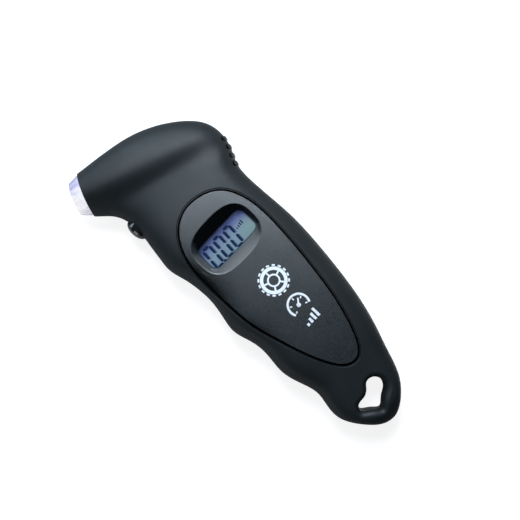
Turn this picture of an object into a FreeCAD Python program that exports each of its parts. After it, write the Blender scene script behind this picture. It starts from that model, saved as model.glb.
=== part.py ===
import FreeCAD, Part
import math
import os
import Sketcher
from FreeCAD import Placement, Rotation, Vector

# Hand-held tire pressure gauge, in millimetres.
# Origin: on the flat back, under the middle of the display.
# +Y runs up the handle to the head, +X to the thumb side, +Z out of the display.

doc = FreeCAD.newDocument("TirePressureGauge")
sheet = doc.addObject("Spreadsheet::Sheet", "sizes")

DIMENSIONS = {
    # housing
    "parting_height": 13.0,
    "wall": 2.5,
    "floor_thickness": 2.2,
    "plate_thickness": 1.4,
    "rim_step": 0.15,
    "rim_step_depth": 0.35,
    "groove_inset": 0.3,
    "plate_groove": 0.7,
    "plate_seat": 2.1,
    "plate_edge": 0.3,
    "bowl_edge": 0.7,
    "hole_rounding": 2.2,
    "groove_edge": 0.2,
    # head and nozzle; angles run from +X to the way the nozzle and the head's ridge point
    "nozzle_centre_x": -26.9,
    "nozzle_centre_y": 55.6,
    "nozzle_angle": 155.3,
    "head_angle": 160.7,
    "rim_radius": 9.55,
    "tip_base_radius": 9.0,
    "tip_end_radius": 6.9,
    "tip_length": 5.0,
    "skirt_radius": 7.6,
    "skirt_length": 3.5,
    "mouth_radius": 4.3,
    "mouth_depth": 3.4,
    "core_radius": 3.6,
    "core_length": 15.0,
    "barb_length": 5.0,
    "barb_radius": 1.6,
    "air_bore_radius": 0.9,
    "sensor_distance": 37.0,
    # display
    "window_x": 0.15,
    "window_y": 0.6,
    "window_half_width": 12.7,
    "window_half_height": 5.85,
    "bowl_x": -0.4,
    "bowl_y": 0.8,
    "bowl_half_width": 15.1,
    "bowl_half_height": 11.3,
    "bowl_bottom": 21.8,
    "lens_half_width": 14.3,
    "lens_half_height": 7.3,
    "lens_thickness": 1.0,
    "glass_half_width": 14.5,
    "glass_thickness": 0.9,
    "board_bottom": 15.6,
    "board_thickness": 1.6,
    # mode button and its switch
    "button_edge_x": -22.6,
    "button_y": 30.5,
    "button_radius": 5.0,
    "button_dome": 2.9,
    "button_gap": 0.08,
    "switch_face_x": -16.4,
    # battery bay
    "door_x": -1.5,
    "door_y": -41.0,
    "door_width": 25.0,
    "door_length": 42.0,
    "door_thickness": 1.2,
    "door_corner": 3.0,
    "door_gap": 0.15,
    "door_screw_y": -23.0,
    "coin_y": -36.5,
    "coin_radius": 10.0,
    "coin_thickness": 3.2,
    "light_cell_y": -53.3,
    "light_cell_radius": 5.8,
    "light_cell_length": 5.4,
    "cell_height": 2.4,
    # fasteners
    "shank_radius": 1.0,
    "head_radius": 1.9,
    "head_height": 1.3,
    "screw_gap": 0.08,
    "boss_radius": 2.6,
    "board_post_radius": 2.4,
    "screw_seat": 4.6,
}
for row, (alias, number) in enumerate(DIMENSIONS.items(), start=1):
    sheet.set(f"A{row}", alias)
    sheet.set(f"B{row}", str(number))
    sheet.setAlias(f"B{row}", alias)
doc.recompute()


class Size:
    """A sheet value that keeps its formula, so a sketch or a placement can be bound to it."""

    def __init__(self, number, text=None):
        self.number = float(number)
        self.text = text or repr(float(number))

    def __add__(self, other):
        other = as_size(other)
        return Size(self.number + other.number, f"({self.text} + {other.text})")

    def __sub__(self, other):
        other = as_size(other)
        return Size(self.number - other.number, f"({self.text} - {other.text})")

    def __mul__(self, factor):
        factor = as_size(factor)
        return Size(self.number * factor.number, f"({self.text} * {factor.text})")

    def __neg__(self):
        return Size(-self.number, f"(-{self.text})")

    __radd__ = __add__
    __rmul__ = __mul__

    def __rsub__(self, other):
        return as_size(other) - self


def as_size(value):
    return value if isinstance(value, Size) else Size(value)


def dim(alias):
    return Size(sheet.get(alias), f"sizes.{alias}")


def mm(alias):
    return float(sheet.get(alias))


# ---------------------------------------------------------------- document helpers

def add(kind, label):
    obj = doc.addObject(kind, label)
    obj.Label = label
    return obj


def bind(obj, **values):
    """Bind properties to sheet formulas; Part primitives take plain numbers the same way."""
    for name, value in values.items():
        obj.setExpression(name.replace("__", "."), as_size(value).text)
    return obj


def put(obj, at, rotation=Rotation()):
    """Place an object, its position bound to the sheet."""
    sizes = [as_size(v) for v in at]
    obj.Placement = Placement(Vector(*[s.number for s in sizes]), rotation)
    bind(obj, Placement__Base__x=sizes[0], Placement__Base__y=sizes[1], Placement__Base__z=sizes[2])
    return obj


def box(label, low, high):
    obj = add("Part::Box", label)
    spans = [as_size(b) - as_size(a) for a, b in zip(low, high)]
    bind(obj, Length=spans[0], Width=spans[1], Height=spans[2])
    return put(obj, low)


def cylinder(label, radius, length, at, rotation=Rotation()):
    obj = add("Part::Cylinder", label)
    bind(obj, Radius=radius, Height=length)
    return put(obj, at, rotation)


def fuse(label, *shapes):
    obj = add("Part::MultiFuse", label)
    obj.Shapes = list(shapes)
    return obj


def common(label, *shapes):
    obj = add("Part::MultiCommon", label)
    obj.Shapes = list(shapes)
    return obj


def cut(label, base, *tools):
    obj = add("Part::Cut", label)
    obj.Base = base
    obj.Tool = tools[0] if len(tools) == 1 else fuse(label + "_tools", *tools)
    return obj


def compound(label, *shapes):
    obj = add("Part::Compound", label)
    obj.Links = list(shapes)
    return obj


def rounded(label, base, radius, choose):
    """Fillet the edges of base that the choose function picks."""
    doc.recompute()
    obj = add("Part::Fillet", label)
    obj.Base = base
    obj.Edges = [(i, radius, radius) for i, e in enumerate(base.Shape.Edges, 1) if choose(e)]
    return obj


def feature(label, shape):
    obj = add("Part::Feature", label)
    obj.Shape = shape
    return obj


def extrusion(label, wire, length):
    """Pull a closed wire straight up into a solid."""
    obj = add("Part::Extrusion", label)
    obj.Base = wire
    obj.DirMode = "Custom"
    obj.Dir = Vector(0, 0, 1)
    obj.LengthFwd = length
    obj.Solid = True
    return obj


def polygon(body, role, name, corners):
    """A closed sketch on one of the body's origin planes, every corner bound to the sheet."""
    sketch = body.newObject("Sketcher::SketchObject", name)
    plane = next(f for f in body.Origin.OriginFeatures if f.Role == role)
    sketch.AttachmentSupport = [(plane, "")]
    sketch.MapMode = "FlatFace"
    places = [(as_size(a), as_size(b)) for a, b in corners]
    points = [Vector(a.number, b.number, 0) for a, b in places]
    count = len(points)
    for i in range(count):
        sketch.addGeometry(Part.LineSegment(points[i], points[(i + 1) % count]), False)
    for i in range(count):
        sketch.addConstraint(Sketcher.Constraint("Coincident", i, 2, (i + 1) % count, 1))
    for i, pair in enumerate(places):
        for kind, value in zip(("DistanceX", "DistanceY"), pair):
            index = sketch.addConstraint(Sketcher.Constraint(kind, -1, 1, i, 1, value.number))
            if "sizes." in value.text:
                constraint = f"{kind}_{i}"
                sketch.renameConstraint(index, constraint)
                sketch.setExpression("Constraints." + constraint, value.text)
    return sketch


def turned(label, profile, at, rotation=Rotation()):
    """A body turned about its own X axis; the profile gives (along, radius) pairs."""
    body = add("PartDesign::Body", label)
    sketch = polygon(body, "XY_Plane", label + "_profile", profile)
    turn = body.newObject("PartDesign::Revolution", label + "_turn")
    turn.Profile = sketch
    turn.ReferenceAxis = (sketch, ["H_Axis"])
    turn.Angle = 360
    put(body, at, rotation)
    return body


def padded(label, outline, thickness, at, rotation=Rotation()):
    """A flat body: an outline in its XY plane, padded upwards."""
    body = add("PartDesign::Body", label)
    sketch = polygon(body, "XY_Plane", label + "_outline", outline)
    pad = body.newObject("PartDesign::Pad", label + "_pad")
    pad.Profile = sketch
    bind(pad, Length=thickness)
    put(body, at, rotation)
    return body


def dress(body, kind, name, size, choose):
    """Fillet or chamfer the edges of a body's tip that the choose function picks."""
    doc.recompute()
    base = body.Tip
    edges = [f"Edge{i}" for i, e in enumerate(base.Shape.Edges, 1) if choose(e)]
    obj = body.newObject("PartDesign::" + kind, name)
    obj.Base = (base, edges)
    bind(obj, **{"Radius" if kind == "Fillet" else "Size": size})
    return obj


def circle_at(place, radius):
    """Choose circular edges by where their centre lies along local X and by radius."""
    def choose(edge):
        curve = edge.Curve
        if curve.TypeId != "Part::GeomCircle":
            return False
        return abs(curve.Center.x - place) < 1e-4 and abs(curve.Radius - radius) < 1e-4
    return choose


MID = dim("parting_height")
ALONG_Y = Rotation(Vector(0, 0, 1), 90)
UP = Rotation(Vector(0, 1, 0), -90)          # a turned body's X axis stands up
DOWN = Rotation(Vector(0, 1, 0), 90)         # it hangs down; a cylinder turned so runs along +X
NOZZLE = Rotation(Vector(0, 0, 1), mm("nozzle_angle"))
NOZZLE_ROD = NOZZLE.multiply(DOWN)           # a cylinder along the nozzle's axis
NOZZLE_AT = (dim("nozzle_centre_x"), dim("nozzle_centre_y"), MID)


def on_nozzle(distance, side=0.0):
    """A plan position on the nozzle's axis; distance is positive out of the head."""
    angle = math.radians(mm("nozzle_angle"))
    along = Vector(math.cos(angle), math.sin(angle), 0)
    across = Vector(-along.y, along.x, 0)
    centre = Vector(mm("nozzle_centre_x"), mm("nozzle_centre_y"), 0)
    return centre + along * distance + across * side


# ---------------------------------------------------------------- freeform envelope

# Pairs of points facing each other across the body at the parting plane, from the
# nozzle rim to the tip of the handle: finger side first, thumb side second.
RIM = (on_nozzle(0, mm("rim_radius")), on_nozzle(0, -mm("rim_radius")))
STATIONS = [
    ((RIM[0].x, RIM[0].y), (RIM[1].x, RIM[1].y)),
    ((-28.3, 44.3), (-15.0, 63.0)),
    ((-25.8, 41.6), (-6.0, 61.4)),
    ((-24.2, 38.9), (4.0, 58.8)),
    ((-23.3, 36.3), (14.0, 54.1)),
    ((-22.9, 34.0), (22.3, 48.0)),
    ((-22.8, 31.5), (28.0, 41.3)),
    ((-22.9, 28.8), (30.0, 33.8)),
    ((-23.3, 25.4), (28.6, 26.2)),
    ((-24.2, 20.5), (25.6, 19.8)),
    ((-25.2, 14.5), (24.5, 13.8)),
    ((-25.7, 8.5), (24.5, 8.0)),
    ((-24.2, 1.5), (24.8, 1.5)),
    ((-23.2, -6.0), (25.2, -6.0)),
    ((-23.4, -14.0), (25.3, -14.0)),
    ((-25.2, -22.5), (24.8, -22.5)),
    ((-25.6, -29.0), (24.1, -29.5)),
    ((-23.6, -37.0), (23.1, -37.5)),
    ((-23.4, -45.0), (21.9, -45.5)),
    ((-24.2, -53.0), (20.4, -53.5)),
    ((-22.6, -61.0), (18.4, -61.5)),
    ((-20.5, -69.0), (16.0, -69.0)),
    ((-21.4, -76.0), (13.2, -76.5)),
    ((-21.9, -82.5), (10.9, -83.0)),
    ((-19.6, -88.5), (8.2, -89.0)),
    ((-16.0, -93.5), (4.4, -93.8)),
    ((-11.9, -97.5), (-0.8, -97.9)),
    ((-6.4, -99.7), (-6.4, -99.7)),
]
LAST = len(STATIONS) - 1

# Height of the handle's crest above and depth below the parting plane, along Y.
FRONT_CREST = [(-99.7, 6.0), (-86, 7.2), (-72, 9.0), (-58, 10.9), (-40, 12.3), (-20, 12.95),
               (0, 13.0), (12, 12.9), (22, 12.2), (30, 11.0), (40, 9.0), (66, 5.0)]
BACK_CREST = [(-99.7, 6.0), (-86, 8.6), (-76, 11.4), (-68, 13.3), (-58, 14.3), (-40, 14.5),
              (0, 14.5), (18, 14.3), (28, 13.2), (38, 10.6), (66, 5.0)]


def spline(points, parameters=None, closed=False):
    curve = Part.BSplineCurve()
    if closed:
        curve.interpolate(Points=points, PeriodicFlag=True)
    else:
        curve.interpolate(Points=points, Parameters=parameters)
    return curve


RAILS = [spline([Vector(*pair[side], 0) for pair in STATIONS], [float(i) for i in range(LAST + 1)])
         for side in (0, 1)]


def crest_curve(table):
    return spline([Vector(y, height, 0) for y, height in table], [float(y) for y, height in table])


CREST_CURVES = {1: crest_curve(FRONT_CREST), -1: crest_curve(BACK_CREST)}
HEAD_GROWTH = {1: 2.8, -1: 2.4}      # how much the head deepens behind its rim
HEAD_GROWTH_LENGTH = 12.0
VALLEY_RADIUS = 11.0                 # the head's round flank towards the handle
CROWN_RADIUS = 60.0                  # its flatter flank towards the top edge
CREST_BLEND = 1.2                    # softness of the valley between head and handle


def smooth_max(a, b):
    """The larger of two heights, with the change from one to the other rounded off."""
    top = max(a, b)
    spread = math.exp((a - top) / CREST_BLEND) + math.exp((b - top) / CREST_BLEND)
    return top + CREST_BLEND * math.log(spread)


def crest(point, side):
    """Distance of the outer surface's ridge from the parting plane over a plan point."""
    reach = point - Vector(mm("nozzle_centre_x"), mm("nozzle_centre_y"), 0)
    angle = math.radians(mm("head_angle"))
    behind = -(reach.x * math.cos(angle) + reach.y * math.sin(angle))
    beside = reach.x * math.sin(angle) - reach.y * math.cos(angle)
    head = mm("rim_radius") + HEAD_GROWTH[side] * (1 - math.exp(-max(behind, 0) / HEAD_GROWTH_LENGTH))
    head -= beside ** 2 / (2 * (VALLEY_RADIUS if beside < 0 else CROWN_RADIUS))
    table = FRONT_CREST if side > 0 else BACK_CREST
    y = min(max(point.y, table[0][0]), table[-1][0])
    return smooth_max(head, CREST_CURVES[side].value(y).y)


SQUARENESS = (0.42, 0.30)            # fullness of the section's shoulders in the handle
FULL_SECTION_STATION = 8.0           # the section is round at the rim, full from here on
ROUND_END_WIDTH = 11.5               # half width under which the handle's end rounds off
TAIL_STATION = 15
ROW_STEPS = 24


def section_row(station, inset, side):
    """Points across half a section at a station, from the thumb side to the finger side."""
    finger, thumb = [rail.value(station) for rail in RAILS]
    centre = (finger + thumb) * 0.5
    half = (thumb - finger) * 0.5
    width = half.Length
    if width > 1e-6:
        half = half * (max(width - inset, 0.01) / width)
    fullness = min(1.0, station / FULL_SECTION_STATION)
    closing = min(1.0, width / ROUND_END_WIDTH) if station > TAIL_STATION else 1.0
    closing *= math.sqrt(2 - closing ** 2)
    row = []
    for step in range(ROW_STEPS + 1):
        across = math.cos(math.pi * step / ROW_STEPS)
        rise = math.sin(math.pi * step / ROW_STEPS) if 0 < step < ROW_STEPS else 0.0
        rise *= 1 + fullness * (SQUARENESS[0] * across ** 2 + SQUARENESS[1] * across ** 4)
        point = centre + half * across
        height = (crest(point, side) - inset) * rise * closing
        row.append(Vector(point.x, point.y, mm("parting_height") + side * height))
    return row


def half_envelope(side, inset=0.0, first=0.0, last=LAST):
    """The solid between the parting plane and the outer surface moved in by inset."""
    count = int((last - first) * 2)
    rows = [section_row(first + (last - first) * i / count, inset, side) for i in range(count + 1)]
    surface = Part.BSplineSurface()
    surface.interpolate(rows)
    skin = surface.toShape()
    borders = [e for e in skin.Edges if not e.Degenerated]
    flat = [e for e in borders if all(abs(p.z - mm("parting_height")) < 1e-6 for p in e.discretize(5))]
    ends = [e for e in borders if not any(e.isSame(f) for f in flat)]
    chords = [Part.makeLine(e.Vertexes[0].Point, e.Vertexes[-1].Point) for e in ends
              if (e.Vertexes[0].Point - e.Vertexes[-1].Point).Length > 1e-6]
    faces = [skin] + [Part.Face(Part.Wire([e, c])) for e, c in zip(ends, chords)]
    faces.append(Part.Face(Part.Wire(Part.__sortEdges__(flat + chords))))
    shell = Part.makeShell(faces)
    shell.sewShape()
    return Part.Solid(shell)


INSET_STEPS = 48


def outline(points, inset=0.0):
    """A closed curve through plan points listed clockwise, or a like curve moved inwards."""
    curve = spline([Vector(x, y, 0) for x, y in points], closed=True)
    if inset:
        span = curve.LastParameter - curve.FirstParameter
        moved = []
        for step in range(INSET_STEPS):
            at = curve.FirstParameter + span * step / INSET_STEPS
            along = curve.tangent(at)[0]
            moved.append(curve.value(at) + Vector(along.y, -along.x, 0) * inset)
        curve = spline(moved, closed=True)
    return Part.Wire([curve.toShape()])


def superellipse(x, y, half_width, half_height, power, height):
    """A closed curve between an ellipse (power 2) and a rounded rectangle (higher powers)."""
    points = []
    for step in range(32):
        c = math.cos(2 * math.pi * step / 32)
        n = math.sin(2 * math.pi * step / 32)
        size = (abs(c) ** power + abs(n) ** power) ** (-1 / power)
        points.append(Vector(x + half_width * c * size, y + half_height * n * size, height))
    return Part.Wire([spline(points, closed=True).toShape()])


# ---------------------------------------------------------------- housing shells

FAR = 60.0                           # longer than any cut through the body

# Outline of the face plate's seat, seen from the front. A shallow step lies just outside
# it, the deep groove just inside it, and the plate inside the groove.
LEAF = [(-2.2, 21.6), (6.0, 20.6), (13.0, 16.4), (17.0, 9.5), (18.8, 0.0), (18.6, -11.0),
        (17.3, -24.0), (15.6, -35.7), (13.5, -46.9), (10.3, -58.1), (6.6, -66.7), (2.6, -70.9),
        (-1.5, -71.2), (-5.5, -68.5), (-9.1, -62.8), (-13.0, -52.8), (-16.1, -41.9),
        (-18.6, -31.5), (-19.5, -20.0), (-19.6, -8.0), (-18.6, 3.3), (-15.6, 12.0), (-10.3, 18.4)]

# The lanyard hole: a rounded triangle with a long concave upper edge.
HANG_HOLE = [(-2.2, -80.3), (1.0, -81.8), (1.9, -84.3), (0.5, -88.1), (-3.2, -90.4), (-6.8, -92.6),
             (-10.0, -90.2), (-13.2, -86.9), (-12.2, -84.9), (-8.4, -84.2), (-5.0, -82.3)]

# Housing screws: under the ribbed spine, beside the display, in the head and by the hole.
SCREW_PLACES = [(-18.9, 17.5), (20.3, 12.0), (18.5, 40.0), (-14.5, 41.5), (-2.5, -72.5)]
FRONT_SCREW_HEIGHT = 18.5            # where the screws' pilot holes end
BOARD_SCREW_PLACES = [(-14.0, -11.4), (14.0, -11.4), (10.0, 28.5)]

HOLLOW_STATIONS = (0.5, 22.0)        # the housing is solid from the hang hole down
RIB_STATIONS = [7.5, 8.02, 8.54, 9.06]
RIB_RADIUS = 0.9
RIB_PROUD = 0.5

board_top = dim("board_bottom") + dim("board_thickness")
leaf_step = feature("leaf_step", outline(LEAF, -mm("rim_step")))
leaf_groove = feature("leaf_groove", outline(LEAF, mm("groove_inset")))
leaf_plate = feature("leaf_plate", outline(LEAF, mm("groove_inset") + mm("plate_groove")))
leaf_seat = feature("leaf_seat", outline(LEAF, mm("plate_seat")))
hang_wire = feature("hang_wire", outline(HANG_HOLE))

front_skin = feature("front_skin", half_envelope(1))
back_skin = feature("back_skin", half_envelope(-1))
front_room = feature("front_room", half_envelope(1, mm("wall"), *HOLLOW_STATIONS))
back_room_full = feature("back_room_full", half_envelope(-1, mm("wall"), *HOLLOW_STATIONS))
back_room = common("back_room", back_room_full,
                   box("above_floor", (-FAR, -2 * FAR, dim("floor_thickness")), (FAR, 2 * FAR, FAR)))


def rib_bars(label):
    """Upright bars along the thumb side's edge, at the neck."""
    bars = []
    for number, station in enumerate(RIB_STATIONS):
        edge = RAILS[1].value(station)
        foot = (edge.x - RIB_PROUD / 2, edge.y, -FAR / 2)
        bars.append(cylinder(f"{label}_{number}", RIB_RADIUS, FAR, foot))
    return bars


def ribs(label, side):
    swollen = feature(label + "_swollen", half_envelope(side, -RIB_PROUD, 5, 12))
    return common(label, swollen, fuse(label + "_bars", *rib_bars(label + "_bar")))


def nozzle_bore(label):
    """The seat of the clear tip's skirt, open at the rim."""
    start = on_nozzle(-mm("skirt_length") - 0.1)
    return cylinder(label, dim("skirt_radius") + 0.05, dim("skirt_length") + 2,
                    (start.x, start.y, MID), NOZZLE_ROD)


def button_bore(label):
    """A round opening in the finger-side wall, wider inside for the button's flange."""
    opening = cylinder(label + "_opening", dim("button_radius") + dim("button_gap"), 12,
                       (-30, dim("button_y"), MID), DOWN)
    pocket = cylinder(label + "_pocket", dim("button_radius") + 1.35, 8,
                      (dim("button_edge_x") + 2.8, dim("button_y"), MID), DOWN)
    return fuse(label, opening, pocket)


def core_saddle(label, side):
    """A cross wall in the head that holds the air chamber, cut out for the lamp's leads."""
    centre = on_nozzle(-12.5)
    wall = add("Part::Box", label + "_wall")
    bind(wall, Length=1.5, Width=30, Height=14)
    corner = centre + NOZZLE.multVec(Vector(0, -15, 0))
    put(wall, (corner.x, corner.y, MID if side > 0 else MID - 14), NOZZLE)
    hole = cylinder(label + "_hole", dim("core_radius") + 0.1, 10, (centre.x, centre.y, MID),
                    NOZZLE_ROD)
    leads = cylinder(label + "_leads", 2.2, 10, (centre.x, centre.y, MID + side * 5.4),
                     NOZZLE_ROD)
    grown = feature(label + "_room", half_envelope(side, mm("wall") - 0.3, *HOLLOW_STATIONS))
    clear = cut(label + "_clear", wall, hole, leads)
    return common(label, clear, grown)


def screw_posts(label, places, radius, bottom, top):
    """Upright rods at the screws' places, to add as bosses or to cut as holes."""
    posts = [cylinder(f"{label}_{n}", radius, as_size(top) - bottom, (x, y, bottom))
             for n, (x, y) in enumerate(places)]
    return fuse(label, *posts) if len(posts) > 1 else posts[0]


def front_housing():
    """The front shell: seat and groove for the plate, screw bosses, hang hole and openings."""
    shell = cut("front_shell", front_skin, front_room)
    posts = screw_posts("front_posts", SCREW_PLACES, dim("boss_radius"), MID, 30)
    inside = feature("front_inside", half_envelope(1, 1.0))
    bosses = common("front_bosses", posts, inside)
    saddle = core_saddle("front_saddle", 1)
    whole = fuse("front_whole", shell, bosses, ribs("front_ribs", 1), saddle)
    pocket_skin = feature("pocket_skin", half_envelope(1, -1.0))
    seat_floor = feature("plate_seat_floor", half_envelope(1, mm("plate_thickness") + 0.05))
    groove_prism = extrusion("leaf_prism", leaf_groove, FAR)
    groove = cut("plate_recess", common("plate_pocket", groove_prism, pocket_skin), seat_floor)
    step_floor = feature("rim_step_floor", half_envelope(1, mm("rim_step_depth")))
    step_prism = extrusion("rim_prism", leaf_step, FAR)
    step = cut("rim_step", common("rim_step_pocket", step_prism, pocket_skin), step_floor)
    opening = extrusion("leaf_opening", leaf_seat, FAR)
    pilots = screw_posts("front_pilots", SCREW_PLACES, dim("shank_radius") + dim("screw_gap"),
                         0, FRONT_SCREW_HEIGHT)
    hang = extrusion("front_hang", hang_wire, FAR)
    body = cut("front_cut", whole, groove, step, opening, pilots, hang, nozzle_bore("front_bore"),
               button_bore("front_button"))
    rim = mm("parting_height") + 1

    def hang_rim(edge):
        place = edge.BoundBox
        return place.YMin > -94 and place.YMax < -79 and place.ZMin > rim

    soft_hole = rounded("front_soft_hole", body, mm("hole_rounding"), hang_rim)
    return rounded("front_housing", soft_hole, mm("groove_edge"), on_top_of(soft_hole, 150, 400))


def battery_bay():
    """Moulded pockets for the coin cell and, beside it, the three lamp cells."""
    low = dim("floor_thickness") - 0.5
    coin_block = box("coin_block", (-13.0, dim("coin_y") - 11, low), (10.0, dim("coin_y") + 11.5, 8.8))
    light_block = box("light_block", (-13.0, dim("light_cell_y") - 7.3, low),
                      (10.0, dim("light_cell_y") + 6.9, 15.4))
    return fuse("bay_blocks", coin_block, light_block)


def bay_rooms():
    """The spaces cut into the battery bay: both kinds of cell, a contact slot and a mouth."""
    coin = cylinder("coin_room", dim("coin_radius") + 0.2, 9.6, (dim("door_x"), dim("coin_y"), -2.0))
    slot = box("coin_slot", (-12.3, dim("coin_y") - 3, -2.0), (-9.0, dim("coin_y") + 3, 7.6))
    trough = cylinder("light_trough", dim("light_cell_radius") + 0.2, 21.2,
                      (-12.1, dim("light_cell_y"), dim("cell_height") + dim("light_cell_radius")),
                      DOWN)
    mouth = box("light_mouth", (-12.1, dim("light_cell_y") - 6.0, -2.0),
                (9.1, dim("light_cell_y") + 6.0, 8.2))
    return [coin, slot, trough, mouth]


def back_housing():
    """The back shell: battery bay and door recess, screw seats, posts for the circuit board."""
    cutter = box("below_rest", (-FAR, -2 * FAR, -FAR), (FAR, 2 * FAR, 0))
    skin = cut("back_flat", back_skin, cutter)
    shell = cut("back_shell", skin, back_room)
    inside = common("back_inside", feature("back_inner", half_envelope(-1, 1.0)),
                    box("above_seat", (-FAR, -2 * FAR, 0.8), (FAR, 2 * FAR, FAR)))
    post_bars = screw_posts("back_posts", SCREW_PLACES, dim("boss_radius"), 0, MID)
    posts = common("back_bosses", post_bars, inside)
    board_bars = screw_posts("board_post_bars", BOARD_SCREW_PLACES, dim("board_post_radius"), 1,
                             dim("board_bottom") - 0.05)
    board_posts = common("board_posts", board_bars, fuse("board_post_room", inside, front_skin))
    door_boss = cylinder("door_boss", dim("boss_radius"), 7.5, (dim("door_x"), dim("door_screw_y"), 1.5))
    bay = battery_bay()
    saddle = core_saddle("back_saddle", -1)
    whole = fuse("back_whole", shell, posts, board_posts, door_boss, bay, ribs("back_ribs", -1), saddle)

    half_width = dim("door_width") * 0.5 + dim("door_gap")
    half_length = dim("door_length") * 0.5 + dim("door_gap")
    recess = rounded("door_recess", box(
        "door_recess_box", (dim("door_x") - half_width, dim("door_y") - half_length, -1.0),
        (dim("door_x") + half_width, dim("door_y") + half_length, dim("door_thickness") + 0.05)),
        mm("door_corner"), upright)
    seats = screw_posts("screw_seats", SCREW_PLACES, dim("head_radius") + 0.3, -1, dim("screw_seat"))
    pilot_radius = dim("shank_radius") + dim("screw_gap")
    pilots = screw_posts("back_pilots", SCREW_PLACES, pilot_radius, 0, FAR)
    door_pilot = cylinder("door_pilot", pilot_radius, 7.7, (dim("door_x"), dim("door_screw_y"), 0))
    board_pilots = screw_posts("board_pilots", BOARD_SCREW_PLACES, pilot_radius, 7, FAR)
    hang = extrusion("back_hang", hang_wire, FAR)
    body = cut("back_cut", whole, recess, seats, pilots, door_pilot, board_pilots, hang,
               nozzle_bore("back_bore"), button_bore("back_button"), *bay_rooms())
    rim = mm("parting_height") - 1

    def hang_rim(edge):
        place = edge.BoundBox
        return place.YMin > -94 and place.YMax < -79 and place.ZMax < rim

    return rounded("back_housing", body, mm("hole_rounding"), hang_rim)


def upright(edge):
    """Choose straight edges that run along Z."""
    place = edge.BoundBox
    return place.ZLength > 0.5 and place.XLength < 1e-6 and place.YLength < 1e-6


def on_top_of(base, shortest, longest):
    """Choose edges of the front-most large face by their length."""
    doc.recompute()
    large = sorted(base.Shape.Faces, key=lambda f: f.Area)[-2:]
    top = max(large, key=lambda f: f.BoundBox.ZMax)
    return lambda edge: shortest < edge.Length < longest and any(edge.isSame(e) for e in top.Edges)


# ---------------------------------------------------------------- face plate and display

WINDOW_POWER = 7.0                   # squareness of the window, half way down, and of the bowl's rim
MIDDLE_POWER = 3.4
BOWL_POWER = 2.9
BOWL_TOP = 26.4
BOWL_MIDDLE = 24.0
BOWL_SHARE = 0.42                    # how far the wall has come back out at the middle height


def face_plate():
    """The leaf-shaped plate, crowned like the housing, with the sunk bowl of the display."""
    prism = extrusion("plate_prism", leaf_plate, FAR)
    slab = cut("plate_slab", common("plate_blank", prism, front_skin),
               feature("plate_under", half_envelope(1, mm("plate_thickness"))))

    def ring(grow_bowl, grow_window, heights):
        """The bowl's rim and its window, each grown a little and set at a height."""
        top, bottom = heights
        bowl = superellipse(mm("bowl_x"), mm("bowl_y"), mm("bowl_half_width") + grow_bowl,
                            mm("bowl_half_height") + grow_bowl, BOWL_POWER, top)
        window = superellipse(mm("window_x"), mm("window_y"), mm("window_half_width") + grow_window,
                              mm("window_half_height") + grow_window, WINDOW_POWER, bottom)
        return bowl, window

    outer = Part.makeLoft(list(ring(1.0, 1.8, (24.9, mm("bowl_bottom")))), True, True)
    bowl, window = ring(0.15, 0.0, (BOWL_TOP, mm("bowl_bottom") - 0.05))

    def between(name):
        return mm("bowl_" + name) * BOWL_SHARE + mm("window_" + name) * (1 - BOWL_SHARE)

    middle = superellipse(between("x"), between("y"), between("half_width"), between("half_height"),
                          MIDDLE_POWER, BOWL_MIDDLE)
    inner = Part.makeLoft([bowl, middle, window], True, False)
    funnel = feature("bowl_outside", outer)
    blank = fuse("plate_with_bowl", slab, funnel)
    body = cut("plate_open", blank, feature("bowl_inside", inner))
    soft_rim = rounded("plate_soft_rim", body, mm("plate_edge"), on_top_of(body, 100, 400))
    return rounded("face_plate", soft_rim, mm("bowl_edge"), on_top_of(soft_rim, 60, 100))


def lens_and_glass():
    """From the front: clear lens, display glass, backlight with its edge lamps, contact strip."""
    x = dim("window_x")
    top = dim("bowl_bottom") - 0.05
    lens_low = top - dim("lens_thickness")
    half_width = dim("lens_half_width")
    half_height = dim("lens_half_height")
    lens_blank = box("lens_blank", (x - half_width, dim("window_y") - half_height, lens_low),
                     (x + half_width, dim("window_y") + half_height, top))
    lens = rounded("display_lens", lens_blank, 2.0, upright)

    half_glass = dim("glass_half_width")
    glass_top = lens_low - 0.1
    glass_middle = glass_top - dim("glass_thickness")
    glass_low = glass_middle - 0.05 - dim("glass_thickness")
    front_glass = box("front_glass", (x - half_glass, -9.4, glass_middle), (x + half_glass, 8.1, glass_top))
    back_glass = box("back_glass", (x - half_glass, -6.9, glass_low), (x + half_glass, 8.1, glass_middle))
    seal = box("glass_fill", (x - 14.0, -6.4, glass_middle - 0.05), (x + 14.0, 7.6, glass_middle))
    lcd = fuse("lcd_panel", front_glass, back_glass, seal)

    light_top = glass_low - 0.05
    light_low = board_top + 0.05
    light_blank = box("light_blank", (x - 14.0, -6.9, light_low), (x + 14.0, 8.1, light_top))
    light = rounded("backlight_panel", light_blank, 0.8, upright)
    strip = box("contact_strip", (x - 13.0, -9.2, light_low - 0.05), (x + 13.0, -7.4, glass_middle - 0.02))
    lamps = []
    for number, lamp_x in enumerate((x - 6, x + 6)):
        lamps.append(box(f"edge_lamp_{number}", (lamp_x - 1.5, 8.3, board_top),
                         (lamp_x + 1.5, 9.6, light_top)))
    return [lens, lcd, light, strip, compound("backlight_leds", *lamps)]


# ---------------------------------------------------------------- electronics

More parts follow.
